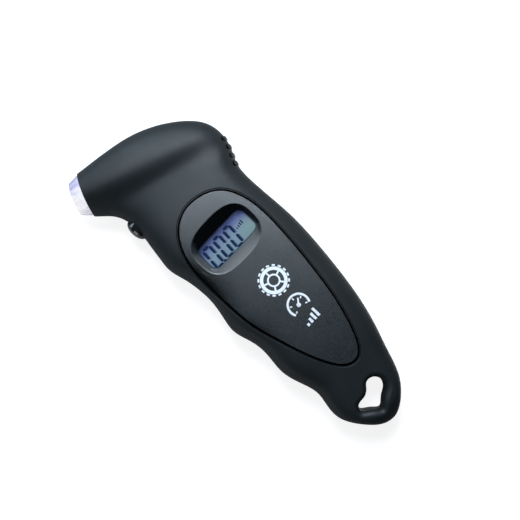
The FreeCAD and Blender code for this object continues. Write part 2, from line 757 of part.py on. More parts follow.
def circuit_board():
    """The board under the display, with an arm to the switch and a tongue under the sensor."""
    corners = [(-16.0, -13.5), (16.5, -13.5), (16.5, 22.0), (13.5, 27.0), (13.5, 46.5),
               (-1.0, 46.5), (-1.0, 36.0), (-16.5, 36.0), (-16.5, 25.0), (-16.0, 24.0)]
    board = padded("circuit_board", corners, dim("board_thickness"), (0, 0, dim("board_bottom")))
    dress(board, "Fillet", "board_corners", 0.8, upright)
    holes = board.newObject("Sketcher::SketchObject", "board_hole_centres")
    holes.AttachmentSupport = [(next(f for f in board.Origin.OriginFeatures if f.Role == "XY_Plane"), "")]
    holes.MapMode = "FlatFace"
    for n, (x, y) in enumerate(BOARD_SCREW_PLACES):
        holes.addGeometry(Part.Circle(Vector(x, y, 0), Vector(0, 0, 1), 1.2), False)
        holes.addConstraint(Sketcher.Constraint("DistanceX", -1, 1, n, 3, x))
        holes.addConstraint(Sketcher.Constraint("DistanceY", -1, 1, n, 3, y))
        holes.addConstraint(Sketcher.Constraint("Radius", n, 1.2))
    doc.recompute()
    before = board.Shape.Volume
    pocket = board.newObject("PartDesign::Pocket", "board_holes")
    pocket.Profile = holes
    pocket.Type = "ThroughAll"
    pocket.Midplane = True
    doc.recompute()
    if board.Shape.Volume > before - 1:
        raise RuntimeError("the board's holes cut nothing")
    return board


def control_chip():
    """The bare controller under its round blob of black resin, below the board."""
    profile = [(0, 0), (1.5, 0), (1.3, 2.4), (0.7, 4.4), (0, 5.4)]
    return turned("control_chip", profile, (2, 10, dim("board_bottom") - 0.02), DOWN)


def crystal():
    """The timing crystal's can, lying under the board."""
    return turned("timing_crystal", [(0, 0), (6.0, 0), (6.0, 1.0), (5.8, 1.2), (0, 1.2)],
                  (-9, -3, dim("board_bottom") - 1.25), ALONG_Y)


def button_switch():
    """A side-pushed switch hanging under the board, and its moving plunger."""
    y = dim("button_y")
    face = dim("switch_face_x")
    case = box("switch_case", (face, y - 3, 10.2), (face + 4.0, y + 3, dim("board_bottom") - 0.02))
    hole = cylinder("switch_hole", 1.3, 3, (face - 1, y, MID), DOWN)
    body = cut("button_switch", case, hole)
    plunger = turned("switch_plunger", [(0, 0), (2.4, 0), (2.4, 1.22), (0.3, 1.22), (0, 0.92)],
                     (face - 1.2, y, MID))
    return [body, plunger]


def mode_button():
    """The domed button with its hidden flange and a stem that reaches the switch."""
    edge = dim("button_edge_x")
    radius = dim("button_radius")
    dome = dim("button_dome")
    reach = dim("switch_face_x") - 1.25 - edge
    cap = [(-dome, 0), (-dome + 0.12, radius * 0.30), (-dome + 0.5, radius * 0.58),
           (-dome + 1.15, radius * 0.82), (-dome + 2.0, radius * 0.96), (0, radius)]
    flange = [(2.95, radius), (2.95, radius + 1.0), (3.75, radius + 1.0), (3.75, 1.6)]
    return turned("mode_button", cap + flange + [(reach, 1.6), (reach, 0)], (edge, dim("button_y"), MID))


def pressure_sensor():
    """A ported sensor under the board's tongue, its port on the nozzle's axis."""
    centre = on_nozzle(-mm("sensor_distance"))
    low = 10.0
    half = 4.5
    case = add("Part::Box", "sensor_case")
    bind(case, Length=2 * half, Width=2 * half, Height=dim("board_bottom") - 0.02 - low)
    corner = centre + NOZZLE.multVec(Vector(-half, -half, 0))
    put(case, (corner.x, corner.y, low), NOZZLE)
    start = centre + NOZZLE.multVec(Vector(half - 0.5, 0, 0))
    port_profile = [(0, 0.7), (5.0, 0.7), (5.0, 1.25), (4.2, 1.6), (3.4, 1.3), (2.4, 1.3), (0, 1.6)]
    port = turned("sensor_port", port_profile, (start.x, start.y, MID), NOZZLE)
    throat = cylinder("sensor_throat", 0.7, 4, (centre.x, centre.y, MID), NOZZLE_ROD)
    return cut("pressure_sensor", fuse("sensor_whole", case, port), throat)


# ---------------------------------------------------------------- nozzle

def nozzle_parts():
    """Everything on the nozzle's axis; along is measured out of the head from the rim."""
    length = dim("tip_length")
    mouth = dim("mouth_radius")
    shelf = length - dim("mouth_depth")
    skirt = -dim("skirt_length")
    inner = 5.1
    tip = turned("nozzle_tip", [
        (skirt, inner), (shelf, inner), (shelf, mouth), (length, mouth), (length, dim("tip_end_radius")),
        (0.05, dim("tip_base_radius")), (0.05, dim("skirt_radius")), (skirt, dim("skirt_radius"))],
        NOZZLE_AT, NOZZLE)
    dress(tip, "Fillet", "tip_edge", 0.7, circle_at(mm("tip_length"), mm("tip_end_radius")))
    dress(tip, "Fillet", "tip_mouth_edge", 0.35, circle_at(mm("tip_length"), mm("mouth_radius")))
    dress(tip, "Fillet", "tip_base_edge", 0.25, circle_at(0.05, mm("tip_base_radius")))

    seal = turned("nozzle_seal", [(-0.45, 2.5), (-0.45, inner - 0.05), (shelf - 0.05, inner - 0.05),
                                  (shelf - 0.05, 2.9), (shelf - 0.45, 2.5)], NOZZLE_AT, NOZZLE)
    back = -dim("core_length")
    end = back - dim("barb_length")
    core_radius = dim("core_radius")
    barb = dim("barb_radius")
    bore = dim("air_bore_radius")
    core = turned("nozzle_core", [
        (-0.5, 2.3), (-0.5, 5.0), (-1.15, 5.0), (-1.15, core_radius), (-2.65, core_radius), (-2.65, 5.0),
        (-3.4, 5.0), (-3.4, core_radius), (back, core_radius), (back, barb), (back - 2.2, barb),
        (back - 2.2, barb + 0.3), (end + 0.6, barb - 0.1), (end + 0.6, barb + 0.3), (end, barb - 0.2),
        (end, bore), (-2.1, bore), (-2.1, 2.3)], NOZZLE_AT, NOZZLE)
    ring = add("Part::Torus", "core_o_ring")
    bind(ring, Radius1=core_radius + 0.72, Radius2=0.69)
    ring_at = on_nozzle(-1.9)
    put(ring, (ring_at.x, ring_at.y, MID), NOZZLE_ROD)
    pin = turned("depressor_pin", [
        (-2.0, 0), (-2.0, 2.2), (-1.1, 2.2), (-0.8, 1.0), (-0.8, 0.8), (shelf - 0.7, 0.8),
        (shelf - 0.4, 0.45), (shelf - 0.4, 0)], NOZZLE_AT, NOZZLE)
    tube_start = -dim("core_length") - 1.0
    tube_end = -(dim("sensor_distance") - 4.5 - 3.0) + 0.6
    tube = turned("air_tube", [(tube_start, 1.95), (tube_start, 2.5), (tube_end, 2.5), (tube_end, 1.95)],
                  NOZZLE_AT, NOZZLE)
    return [tip, seal, core, ring, pin, tube]


LAMP_OFFSET = 5.4                    # the lamp lies this far above the nozzle's axis
LEAD_END_Y = 33.5


def nozzle_lamp():
    """The white lamp behind the clear tip and its two leads back to the board."""
    lamp_at = on_nozzle(-8.5)
    lamp = turned("nozzle_led", [(0, 0), (0, 1.65), (0.7, 1.65), (0.7, 1.4), (3.0, 1.4), (3.9, 1.05),
                                 (4.4, 0.5), (4.5, 0)], (lamp_at.x, lamp_at.y, MID + LAMP_OFFSET), NOZZLE)
    leads = []
    high = mm("parting_height") + LAMP_OFFSET
    low = mm("board_bottom") + mm("board_thickness") + 0.3
    for label, side, end_x in (("light_wire_red", 0.75, -9.5), ("light_wire_black", -0.75, -7.5)):
        start = on_nozzle(-9.1, side)
        bend = on_nozzle(-15.5, side)
        route = spline([Vector(start.x, start.y, high), Vector(bend.x, bend.y, high),
                        Vector(end_x, LEAD_END_Y + 6, low + 1.0), Vector(end_x, LEAD_END_Y, low + 0.9),
                        Vector(end_x, LEAD_END_Y - 0.3, low)], [0.0, 1.0, 2.2, 2.9, 3.2]).toShape()
        circle = Part.Wire([Part.makeCircle(0.5, route.valueAt(route.FirstParameter),
                                            route.tangentAt(route.FirstParameter))])
        leads.append(feature(label, Part.Wire([route]).makePipeShell([circle], True, False)))
    return [lamp] + leads


# ---------------------------------------------------------------- batteries and door

def cell(label, radius, thickness, at, rotation):
    """A button cell: wide can, insulated step and the smaller face of the other pole."""
    step = 1.1
    profile = [(0, 0), (0, radius - 0.4), (0.4, radius), (thickness - 0.35, radius),
               (thickness - 0.35, radius - step), (thickness - 0.12, radius - step - 0.1),
               (thickness, radius - step - 0.4), (thickness, 0)]
    return turned(label, profile, at, rotation)


def battery_parts():
    """The coin cell for the display, three button cells for the lamp, and all the contacts."""
    low = dim("cell_height")
    coin_at = (dim("door_x"), dim("coin_y"), low)
    coin = cell("coin_cell", dim("coin_radius"), dim("coin_thickness"), coin_at, UP)
    axis_height = low + dim("light_cell_radius")
    pitch = dim("light_cell_length")
    first = -7.7
    lamps = [cell(f"light_cell_{n}", dim("light_cell_radius"), pitch - 0.05,
                  (first + n * pitch, dim("light_cell_y"), axis_height), Rotation())
             for n in range(3)]
    cells = compound("light_cells", *lamps)

    top = 7.6
    touch = low + dim("coin_thickness")
    tongue = add("PartDesign::Body", "coin_contact_top")
    polygon(tongue, "YZ_Plane", "tongue_profile", [
        (-9, top), (-9, top - 0.3), (-1.0, top - 0.3), (5.0, touch + 0.35), (6.2, touch + 0.05),
        (7.6, touch + 0.6), (7.6, touch + 0.9), (6.2, touch + 0.35), (5.2, touch + 0.65), (-0.8, top)])
    pad = tongue.newObject("PartDesign::Pad", "tongue_pad")
    pad.Profile = doc.getObject("tongue_profile")
    pad.Length = 4.0
    pad.Midplane = True
    put(tongue, (dim("door_x"), dim("coin_y"), -0.02))

    side_x = dim("door_x") - dim("coin_radius") - 0.35
    side = box("coin_contact_side", (side_x, dim("coin_y") - 2.5, 2.6),
               (side_x + 0.3, dim("coin_y") + 2.5, 7.4))
    plate_x = first + pitch * 3
    plate = box("lamp_contact_plate", (plate_x, dim("light_cell_y") - 4, axis_height - 4),
                (plate_x + 0.3, dim("light_cell_y") + 4, axis_height + 4))
    coil_start = -11.8
    coil_radius = 3.2
    wire_radius = 0.25
    turns = 3.5
    coil_length = first - coil_start - 2 * wire_radius
    helix = Part.makeHelix(coil_length / turns, coil_length, coil_radius)
    section = Part.Wire([Part.makeCircle(wire_radius, Vector(coil_radius, 0, 0), Vector(0, 1, 0.2))])
    spring = feature("lamp_contact_spring", Part.Wire(helix.Edges).makePipeShell([section], True, True))
    put(spring, (coil_start + wire_radius, dim("light_cell_y"), axis_height), DOWN)
    return [coin, cells, tongue, side, plate, spring]


SINK_EDGE = 0.15                     # straight part of the door screw's head
SINK_DEPTH = mm("head_radius") - mm("shank_radius")


def battery_door():
    """The flush door with its locating lip, screwed at the end nearest the display."""
    x, y = dim("door_x"), dim("door_y")
    half_width, half_length = dim("door_width") * 0.5, dim("door_length") * 0.5
    blank = box("door_blank", (x - half_width, y - half_length, 0),
                (x + half_width, y + half_length, dim("door_thickness")))
    sheet_part = rounded("door_sheet", blank, mm("door_corner"), upright)
    lip_top = dim("floor_thickness") - 0.1
    lip_low = dim("door_thickness") - 0.2
    lip_y = dim("light_cell_y")
    lip_outer = box("lip_outer", (-11.9, lip_y - 5.85, lip_low), (8.9, -47.5, lip_top))
    lip_inner = box("lip_inner", (-10.9, lip_y - 4.85, lip_low - 1), (7.9, -48.5, lip_top + 1))
    lip = cut("door_lip", lip_outer, lip_inner)
    head = dim("head_radius") + dim("screw_gap")
    shank = dim("shank_radius") + dim("screw_gap")
    sink_profile = [(-1, 0), (-1, head), (SINK_EDGE, head), (SINK_EDGE + SINK_DEPTH, shank),
                    (3, shank), (3, 0)]
    sink = turned("door_sink", sink_profile, (x, dim("door_screw_y"), 0), UP)
    grips = []
    for n in range(4):
        low_edge = y - half_length + 4 + 1.6 * n
        grips.append(box(f"door_grip_{n}", (x - 6, low_edge, -1), (x + 6, low_edge + 0.8, 0.4)))
    door = cut("battery_door", fuse("door_whole", sheet_part, lip), sink, *grips)
    foam = box("door_foam", (x - 6, dim("coin_y") - 6, dim("door_thickness") + 0.02),
               (x + 6, dim("coin_y") + 6, dim("cell_height") - 0.05))
    return [door, foam]


# ---------------------------------------------------------------- fasteners

def cross_recess(body, name, size, arm, depth):
    """A cross-shaped pocket in the head's top, which lies on the body's YZ plane."""
    corners = [(arm, size), (-arm, size), (-arm, arm), (-size, arm), (-size, -arm), (-arm, -arm),
               (-arm, -size), (arm, -size), (arm, -arm), (size, -arm), (size, arm), (arm, arm)]
    doc.recompute()
    before = body.Shape.Volume
    sketch = polygon(body, "YZ_Plane", name + "_sketch", corners)
    pocket = body.newObject("PartDesign::Pocket", name)
    pocket.Profile = sketch
    pocket.Length = depth
    pocket.Reversed = True
    doc.recompute()
    if body.Shape.Volume > before - 0.05:
        raise RuntimeError(name + " cut nothing")
    return pocket


CROSS = (1.1, 0.22, 0.8)             # a cross recess: half span, half arm width and depth


def pan_screw(label, length):
    """A pan-head screw; its head's top is at the origin and its shank runs along +X."""
    head = dim("head_radius")
    height = dim("head_height")
    shank = dim("shank_radius")
    profile = [(0, 0), (0, head - 0.5), (0.2, head - 0.15), (0.6, head), (height, head),
               (height, shank), (length - 0.8, shank), (length, 0.3), (length, 0)]
    screw = turned(label, profile, (0, 0, 0), UP)
    cross_recess(screw, label + "_cross", *CROSS)
    return screw


def screws_at(label, screw, places, height, rotation):
    """One node of identical screws, their heads at the given height."""
    doc.recompute()
    copies = []
    for x, y in places:
        shape = Part.Shape(screw.Tip.Shape)
        shape.Placement = Placement(Vector(x, y, height), rotation)
        copies.append(shape)
    return feature(label, Part.makeCompound(copies))


def fasteners():
    """The screws of the housing, of the circuit board and of the battery door."""
    long_screw = pan_screw("long_screw", 14.6)
    short_screw = pan_screw("short_screw", 7.0)
    seat = mm("screw_seat") - mm("head_height") - 0.02
    housing = screws_at("housing_screws", long_screw, SCREW_PLACES, seat, UP)
    board_height = mm("board_bottom") + mm("board_thickness") + mm("head_height") + 0.02
    board = screws_at("board_screws", short_screw, BOARD_SCREW_PLACES, board_height, DOWN)
    head = dim("head_radius")
    shank = dim("shank_radius")
    profile = [(0.1, 0), (0.1, head), (SINK_EDGE, head), (SINK_EDGE + SINK_DEPTH, shank),
               (6.4, shank), (7.2, 0.3), (7.2, 0)]
    door = turned("door_screw", profile, (dim("door_x"), dim("door_screw_y"), 0), UP)
    cross_recess(door, "door_screw_cross", *CROSS)
    return [housing, board, door]


PARTS = [front_housing(), back_housing(), face_plate(), *lens_and_glass(), circuit_board(), control_chip(),
         crystal(), *button_switch(), mode_button(), pressure_sensor(), *nozzle_parts(), *nozzle_lamp(),
         *battery_parts(), *battery_door(), *fasteners()]
doc.recompute()

for obj in doc.Objects:
    if "Invalid" in obj.State or "Error" in obj.State:
        raise RuntimeError(f"{obj.Label} did not compute: {obj.State}")
for obj in PARTS:
    if obj.Shape.isNull() or not obj.Shape.isValid() or not obj.Shape.Solids:
        raise RuntimeError(f"{obj.Label} has no valid solid")

os.makedirs("parts", exist_ok=True)
for obj in PARTS:
    obj.Shape.exportStep(f"parts/{obj.Label}.step")
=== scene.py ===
import math

import bpy
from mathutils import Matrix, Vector
from mathutils.bvhtree import BVHTree


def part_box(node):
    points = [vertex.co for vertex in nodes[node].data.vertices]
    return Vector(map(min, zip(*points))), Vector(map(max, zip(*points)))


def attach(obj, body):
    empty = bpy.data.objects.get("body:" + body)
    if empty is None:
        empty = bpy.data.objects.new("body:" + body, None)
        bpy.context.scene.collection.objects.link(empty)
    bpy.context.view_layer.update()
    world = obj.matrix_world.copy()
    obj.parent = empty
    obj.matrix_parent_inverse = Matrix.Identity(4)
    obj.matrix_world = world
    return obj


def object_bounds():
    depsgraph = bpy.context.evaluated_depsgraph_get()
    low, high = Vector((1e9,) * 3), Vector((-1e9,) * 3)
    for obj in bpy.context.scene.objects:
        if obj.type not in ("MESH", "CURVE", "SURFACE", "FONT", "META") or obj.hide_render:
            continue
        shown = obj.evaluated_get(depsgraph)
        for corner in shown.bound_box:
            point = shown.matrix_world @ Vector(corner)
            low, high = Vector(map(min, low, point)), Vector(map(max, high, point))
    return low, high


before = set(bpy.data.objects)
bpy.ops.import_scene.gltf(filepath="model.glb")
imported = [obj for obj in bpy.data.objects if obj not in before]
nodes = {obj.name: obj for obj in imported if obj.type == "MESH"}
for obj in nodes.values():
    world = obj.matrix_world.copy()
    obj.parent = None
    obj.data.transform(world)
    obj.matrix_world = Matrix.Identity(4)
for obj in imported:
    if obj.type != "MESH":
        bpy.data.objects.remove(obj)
cad_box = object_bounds()
scene = bpy.context.scene
MM = 0.001
SEAM_HEIGHT = 13.0        # mm above the table, where the two shells meet
# HEADWARD also points towards the lamps; the plate's painted light and shade follow it.
HEADWARD = (0.65, 0.76, 0.0)    # plan direction from the display's long ramp to its steep wall


# ---------------------------------------------------------------- node helpers

def new_material(name):
    material = bpy.data.materials.new(name)
    material.use_nodes = True
    tree = material.node_tree
    tree.nodes.clear()
    return material, tree


def node(tree, kind, inputs=None, **settings):
    """Add a shader node; inputs are values or sockets to link from."""
    made = tree.nodes.new(kind)
    for name, value in settings.items():
        setattr(made, name, value)
    for key, value in (inputs or {}).items():
        socket = made.inputs[key]
        if isinstance(value, bpy.types.NodeSocket):
            tree.links.new(value, socket)
        else:
            socket.default_value = value
    return made


def place(tree, scale=1.0):
    """Object coordinates in millimetres times scale."""
    where = node(tree, "ShaderNodeTexCoord").outputs["Object"]
    return node(tree, "ShaderNodeVectorMath", {0: where, "Scale": scale / MM}, operation="SCALE").outputs[0]


def noise(tree, scale, detail=2.0, roughness=0.5):
    made = node(tree, "ShaderNodeTexNoise", {"Vector": place(tree), "Scale": scale, "Detail": detail,
                                             "Roughness": roughness})
    return made.outputs["Fac"]


def ramp(tree, factor, stops):
    """A colour ramp; stops are (position, (r, g, b)) or (position, grey)."""
    made = node(tree, "ShaderNodeValToRGB", {"Fac": factor})
    band = made.color_ramp
    while len(band.elements) < len(stops):
        band.elements.new(0.5)
    for element, (position, colour) in zip(band.elements, stops):
        colour = (colour,) * 3 if isinstance(colour, (int, float)) else colour
        element.position = position
        element.color = (*colour, 1.0)
    return made.outputs["Color"]


def math_node(tree, operation, *values):
    return node(tree, "ShaderNodeMath", dict(enumerate(values)), operation=operation).outputs[0]


def mix(tree, factor, a, b, blend="MIX"):
    made = node(tree, "ShaderNodeMix", data_type="RGBA", blend_type=blend)
    for name, value in (("Factor", factor), ("A", a), ("B", b)):
        socket = next(s for s in made.inputs if s.name == name and (name == "Factor" or s.type == "RGBA"))
        if isinstance(value, bpy.types.NodeSocket):
            tree.links.new(value, socket)
        else:
            socket.default_value = value if name == "Factor" else (*value, 1.0)
    return next(s for s in made.outputs if s.type == "RGBA")


def bump(tree, height, strength, distance):
    inputs = {"Height": height, "Strength": strength, "Distance": distance}
    return node(tree, "ShaderNodeBump", inputs).outputs[0]


def crevice_shade(tree, reach):
    """Painted shade: white on open surfaces, falling to black in gaps narrower than reach (mm).

    Underneath, only the piece's own grooves count, because the floor would close every gap there."""
    def openness(own_only):
        shade = node(tree, "ShaderNodeAmbientOcclusion", {"Distance": reach * MM}, samples=8,
                     only_local=own_only).outputs["AO"]
        return ramp(tree, shade, [(0.58, 0.0), (0.90, 1.0)])
    facing = node(tree, "ShaderNodeNewGeometry").outputs["True Normal"]
    upward = node(tree, "ShaderNodeSeparateXYZ", {0: facing}).outputs["Z"]
    underneath = ramp(tree, math_node(tree, "MULTIPLY", upward, -1.0), [(0.10, 0.0), (0.45, 1.0)])
    own_grooves = math_node(tree, "MULTIPLY", underneath, openness(True))
    return math_node(tree, "MAXIMUM", openness(False), own_grooves)


def edge_highlight(tree, reach):
    """Mask for a painted highlight: white along outer edges sharper than reach (mm), black on open surfaces.
    """
    solid = node(tree, "ShaderNodeAmbientOcclusion", {"Distance": reach * MM}, samples=8,
                 inside=True).outputs["AO"]
    return ramp(tree, solid, [(0.45, 1.0), (0.80, 0.0)])


def finish(tree, shader):
    node(tree, "ShaderNodeOutputMaterial", {"Surface": shader})


def principled(tree, **inputs):
    names = {"color": "Base Color", "metal": "Metallic", "rough": "Roughness", "normal": "Normal",
             "coat": "Coat Weight", "coat_rough": "Coat Roughness", "spec": "Specular IOR Level",
             "glow": "Emission Color", "glow_strength": "Emission Strength"}
    values = {}
    for key, value in inputs.items():
        if isinstance(value, tuple) and len(value) == 3:
            value = (*value, 1.0)
        values[names[key]] = value
    return node(tree, "ShaderNodeBsdfPrincipled", values).outputs[0]


# ---------------------------------------------------------------- materials

def soft_touch(name, colour=(0.0030, 0.0058, 0.0068), grain=1.0):
    """Matt rubbery paint: a very fine tooth, faint clouding, the seam between the two shells, and painted
    shade in narrow gaps.
    """
    material, tree = new_material(name)
    clouds = noise(tree, 0.06, 3.0)
    fine = noise(tree, 4.5, 2.0)
    smudge = noise(tree, 0.15, 3.0, 0.6)
    height = node(tree, "ShaderNodeSeparateXYZ", {0: place(tree)}).outputs["Z"]
    from_seam = math_node(tree, "ABSOLUTE", math_node(tree, "SUBTRACT", height, SEAM_HEIGHT))
    seam = ramp(tree, from_seam, [(0.10, 0.0), (0.20, 1.0)])
    light = tuple(c * 1.18 for c in colour)
    tint = mix(tree, ramp(tree, clouds, [(0.35, 0.0), (0.65, 1.0)]), colour, light)
    # Painted shade: narrow gaps go near black and lose their sheen; the seam between the shells is a dark
    # joint.
    open_to_light = mix(tree, 1.0, seam, crevice_shade(tree, 1.2), "MULTIPLY")
    tint = mix(tree, open_to_light, (0.0005, 0.0005, 0.0005), tint)
    rough = ramp(tree, smudge, [(0.30, 0.545), (0.62, 0.59)])
    relief = mix(tree, 1.0, ramp(tree, fine, [(0.0, 0.8), (1.0, 1.0)]), seam, "MULTIPLY")
    bumps = bump(tree, relief, 0.35 * grain, 0.00007)
    # Painted shade also dulls the sheen in gaps and at the seam.
    shine = math_node(tree, "MULTIPLY", open_to_light, 0.42)
    finish(tree, principled(tree, color=tint, rough=rough, normal=bumps, spec=shine))
    return material


def grained_plastic(name, colour=(0.0052, 0.0086, 0.0100)):
    """Spark-eroded plastic: a visible fine pebble in colour, roughness and height.

    The display bowl's deep wall, facing down the handle away from the lamps, is painted near black as shade;
    its ramp is painted paler as light.
    Sheen is painted by facing and dulled in narrow gaps, and outer edges get a painted highlight, except on
    the deep wall."""
    material, tree = new_material(name)
    pebbles = noise(tree, 1.9, 3.0, 0.65)
    patches = noise(tree, 0.08, 2.0)
    dark = tuple(c * 0.6 for c in colour)
    light = tuple(c * 2.0 for c in colour)
    speckle = mix(tree, ramp(tree, pebbles, [(0.42, 0.0), (0.62, 1.0)]), dark, light)
    tint = mix(tree, ramp(tree, patches, [(0.4, 0.0), (0.6, 0.2)]), speckle, light)
    rough = ramp(tree, pebbles, [(0.35, 0.40), (0.65, 0.54)])
    # Painted light and shade: how far a surface faces HEADWARD, towards the lamps, sets its sheen and the
    # bowl's tint.
    facing = node(tree, "ShaderNodeNewGeometry").outputs["True Normal"]
    leaning = node(tree, "ShaderNodeVectorMath", {0: facing, 1: HEADWARD}, operation="DOT_PRODUCT")
    slope = math_node(tree, "ADD", math_node(tree, "MULTIPLY", leaning.outputs["Value"], 0.5), 0.5)
    facing_light = ramp(tree, slope, [(0.34, 0.05), (0.42, 0.68), (0.55, 0.68), (0.66, 0.9)])
    open_to_light = math_node(tree, "MULTIPLY", facing_light, crevice_shade(tree, 1.2))
    # Painted shade on the bowl's deep wall, then painted light on its ramp.
    tint = mix(tree, ramp(tree, slope, [(0.36, 0.15), (0.44, 1.0)]), (0.0008, 0.001, 0.0012), tint)
    tint = mix(tree, ramp(tree, slope, [(0.56, 0.0), (0.66, 1.0)]), tint, (0.044, 0.043, 0.042))
    # Painted highlight along outer edges, kept off the deep wall.
    off_the_wall = ramp(tree, slope, [(0.40, 0.0), (0.48, 1.0)])
    edge_glint = math_node(tree, "MULTIPLY", edge_highlight(tree, 0.45), off_the_wall)
    tint = mix(tree, edge_glint, tint, tuple(c * 6.0 for c in colour))
    bumps = bump(tree, pebbles, 0.70, 0.00011)
    shine = math_node(tree, "MULTIPLY", open_to_light, 1.1)
    finish(tree, principled(tree, color=tint, rough=rough, normal=bumps, spec=shine))
    return material


def polished_plastic(name, colour=(0.006, 0.007, 0.008)):
    """Polished moulding with faint hairline wear."""
    material, tree = new_material(name)
    wear = noise(tree, 0.9, 5.0, 0.7)
    rough = ramp(tree, wear, [(0.40, 0.07), (0.75, 0.20)])
    tint = mix(tree, ramp(tree, wear, [(0.45, 0.0), (0.8, 1.0)]), colour, tuple(c * 1.8 for c in colour))
    ripple = bump(tree, noise(tree, 0.35, 1.0), 0.05, 0.0001)
    finish(tree, principled(tree, color=tint, rough=rough, normal=ripple, coat=0.6, coat_rough=0.05))
    return material


def rubber(name, colour, roughness=0.7):
    """Moulded rubber or foam, paler where dust sits."""
    material, tree = new_material(name)
    dust = noise(tree, 1.2, 4.0, 0.6)
    dusty = tuple(min(1, c * 1.7 + 0.01) for c in colour)
    tint = mix(tree, ramp(tree, dust, [(0.4, 0.0), (0.8, 1.0)]), colour, dusty)
    rough = ramp(tree, dust, [(0.3, roughness - 0.1), (0.7, roughness)])
    bumps = bump(tree, noise(tree, 6.0, 2.0), 0.15, 0.00003)
    finish(tree, principled(tree, color=tint, rough=rough, normal=bumps))
    return material


def metal(name, colour, roughness=0.28):
    """Drawn or turned metal: brushed along Y, slightly tarnished."""
    material, tree = new_material(name)
    brushed = (1.0, 0.08, 1.0)
    stretched = node(tree, "ShaderNodeVectorMath", {0: place(tree), 1: brushed}, operation="MULTIPLY")
    lines = node(tree, "ShaderNodeTexNoise", {"Vector": stretched.outputs[0], "Scale": 9.0, "Detail": 3.0})
    lines = lines.outputs["Fac"]
    tarnish = noise(tree, 0.5, 3.0)
    tint = mix(tree, ramp(tree, tarnish, [(0.4, 0.0), (0.75, 1.0)]), colour, tuple(c * 0.72 for c in colour))
    rough = ramp(tree, lines, [(0.35, roughness - 0.08), (0.65, roughness + 0.10)])
    bumps = bump(tree, lines, 0.12, 0.00002)
    finish(tree, principled(tree, color=tint, metal=1.0, rough=rough, normal=bumps))
    return material


def board(name):
    """Green solder mask over faintly raised copper tracks."""
    material, tree = new_material(name)
    tracks = {"Vector": place(tree, 0.12), "Scale": 3.0, "Mortar Size": 0.03,
              "Color1": (0.015, 0.13, 0.05, 1), "Color2": (0.02, 0.16, 0.06, 1),
              "Mortar": (0.04, 0.26, 0.09, 1)}
    cells = node(tree, "ShaderNodeTexBrick", tracks)
    bumps = bump(tree, cells.outputs["Fac"], 0.3, 0.00003)
    finish(tree, principled(tree, color=cells.outputs["Color"], rough=0.32, normal=bumps, coat=0.3))
    return material


def window(name):
    """Thin clear plastic: see-through face on, reflecting at a glance, with a few dust specks."""
    material, tree = new_material(name)
    specks = ramp(tree, noise(tree, 2.0, 5.0, 0.8), [(0.66, 0.02), (0.80, 0.22)])
    glance = node(tree, "ShaderNodeFresnel", {"IOR": 1.45}).outputs[0]
    clear = node(tree, "ShaderNodeBsdfTransparent", {"Color": (0.93, 0.95, 0.97, 1)}).outputs[0]
    gloss = node(tree, "ShaderNodeBsdfAnisotropic", {"Color": (1, 1, 1, 1), "Roughness": specks}).outputs[0]
    share = math_node(tree, "MULTIPLY", glance, 0.25)
    finish(tree, node(tree, "ShaderNodeMixShader", {0: share, 1: clear, 2: gloss}).outputs[0])
    return material


def display(name):
    """Lit LCD ground: pale blue, violet round the sides, and along the top edge a painted shadow of the
    bowl's steep wall, darkening through violet to near black, faint polariser mottling, and a thin dark line
    where the window's edge shades it."""
    material, tree = new_material(name)
    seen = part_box("display_lens")
    middle = (seen[0] + seen[1]) * 0.5
    half_width, half_height, squareness = 12.6 * MM, 5.7 * MM, 7.0
    where = node(tree, "ShaderNodeSeparateXYZ", {0: node(tree, "ShaderNodeTexCoord").outputs["Object"]})
    from_foot = math_node(tree, "SUBTRACT", where.outputs["Y"], middle.y - half_height)
    up = math_node(tree, "DIVIDE", from_foot, 2 * half_height)
    across = math_node(tree, "DIVIDE", math_node(tree, "SUBTRACT", where.outputs["X"], middle.x), half_width)
    sides = math_node(tree, "POWER", math_node(tree, "ABSOLUTE", across), squareness)
    height = math_node(tree, "ADD", up, math_node(tree, "MULTIPLY", sides, 0.20))
    cloud = math_node(tree, "MULTIPLY", math_node(tree, "SUBTRACT", noise(tree, 0.35, 2.0), 0.5), 0.10)
    # Painted shadow: towards the top edge the ground darkens through violet to near black, as the bowl's
    # steep wall shades it.
    colour = ramp(tree, math_node(tree, "ADD", height, cloud), [
        (0.00, (0.20, 0.31, 0.39)), (0.35, (0.24, 0.35, 0.44)), (0.60, (0.21, 0.29, 0.43)),
        (0.76, (0.12, 0.15, 0.35)), (0.88, (0.040, 0.046, 0.18)), (0.97, (0.006, 0.010, 0.045))])
    green = ramp(tree, math_node(tree, "SUBTRACT", across, math_node(tree, "MULTIPLY", up, 0.8)),
                 [(0.0, 0.0), (0.6, 1.0)])
    colour = mix(tree, green, colour, mix(tree, 1.0, colour, (1.02, 1.08, 0.86), "MULTIPLY"))
    pixels = noise(tree, 5.0, 2.0)
    ground = mix(tree, 0.10, colour, ramp(tree, pixels, [(0.3, 0.15), (0.7, 0.85)]), "OVERLAY")
    from_middle = math_node(tree, "SUBTRACT", math_node(tree, "MULTIPLY", up, 2.0), 1.0)
    ends = math_node(tree, "POWER", math_node(tree, "ABSOLUTE", from_middle), squareness)
    outward = math_node(tree, "POWER", math_node(tree, "ADD", sides, ends), 1 / squareness)
    ground = mix(tree, 1.0, ground, ramp(tree, outward, [(0.945, 1.0), (0.995, 0.15)]), "MULTIPLY")
    finish(tree, principled(tree, color=(0.02, 0.03, 0.04), rough=0.3, glow=ground,
                            glow_strength=0.80, spec=0.3))
    return material


